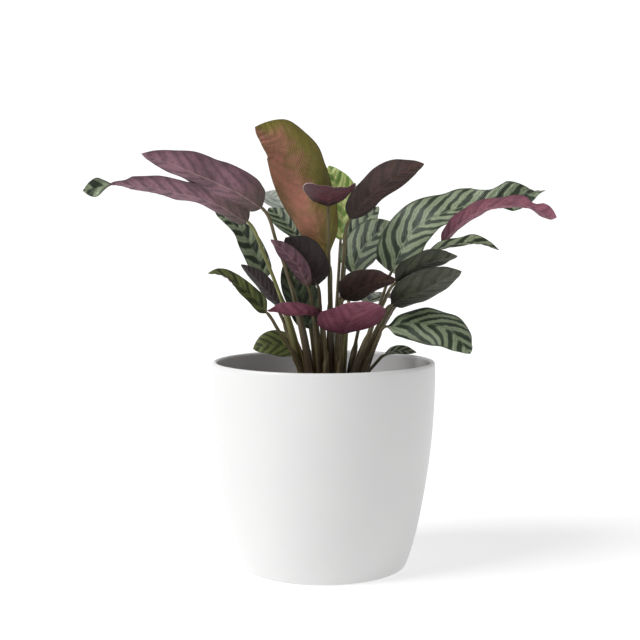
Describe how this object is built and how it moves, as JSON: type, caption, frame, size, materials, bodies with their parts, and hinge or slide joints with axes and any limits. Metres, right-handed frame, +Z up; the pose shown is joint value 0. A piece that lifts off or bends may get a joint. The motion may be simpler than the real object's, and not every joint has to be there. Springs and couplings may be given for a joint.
{
  "type": "potted ctenanthe",
  "caption": "Houseplant with banded green leaves, purple beneath, on thin stalks, in a nursery pot stood in a plain round white cover pot.",
  "frame": {"origin": "centre of the underside of the cover pot", "axes": "+Z up along the pot's axis, +Y away from the front of the plant, +X to its right seen from the front"},
  "size_m": [0.306, 0.1771, 0.2988],
  "materials": {
    "cover_pot": "satin white glaze",
    "nursery_pot": "thin moulded plastic",
    "soil": null,
    "stalk": null,
    "leaf": null
  },
  "bodies": {
    "root": {"cover_pot": "cover_pot", "nursery_pot": "nursery_pot", "soil": "soil", "stem_left_long": "stalk", "leaf_left_long": "leaf", "stem_left_upper": "stalk", "leaf_left_upper": "leaf", "stem_left_striped": "stalk", "leaf_left_striped": "leaf", "stem_left_dark": "stalk", "leaf_left_dark": "leaf", "stem_left_olive": "stalk", "leaf_left_olive": "leaf", "stem_left_low": "stalk", "leaf_left_low": "leaf", "stem_left_inner": "stalk", "leaf_left_inner": "leaf", "stem_back_pale": "stalk", "leaf_back_pale": "leaf", "stem_back_left": "stalk", "leaf_back_left": "leaf", "stem_back_lime": "stalk", "leaf_back_lime": "leaf", "stem_back_upper": "stalk", "leaf_back_upper": "leaf", "stem_back_right": "stalk", "leaf_back_right": "leaf", "stem_back_low": "stalk", "leaf_back_low": "leaf", "stem_tall": "stalk", "leaf_tall": "leaf", "stem_saddle": "stalk", "leaf_saddle": "leaf", "stem_right_upper": "stalk", "leaf_right_upper": "leaf", "stem_right_big": "stalk", "leaf_right_big": "leaf", "stem_right_purple": "stalk", "leaf_right_purple": "leaf", "stem_right_thin": "stalk", "leaf_right_thin": "leaf", "stem_right_shade_upper": "stalk", "leaf_right_shade_upper": "leaf", "stem_right_shade_lower": "stalk", "leaf_right_shade_lower": "leaf", "stem_right_low": "stalk", "leaf_right_low": "leaf", "stem_rim_right": "stalk", "leaf_rim_right": "leaf", "stem_front_right": "stalk", "leaf_front_right": "leaf", "stem_front_left": "stalk", "leaf_front_left": "leaf", "stem_front_narrow": "stalk", "leaf_front_narrow": "leaf", "stem_centre_dark": "stalk", "leaf_centre_dark": "leaf", "stem_mid_purple": "stalk", "leaf_mid_purple": "leaf"}
  },
  "joints": []
}
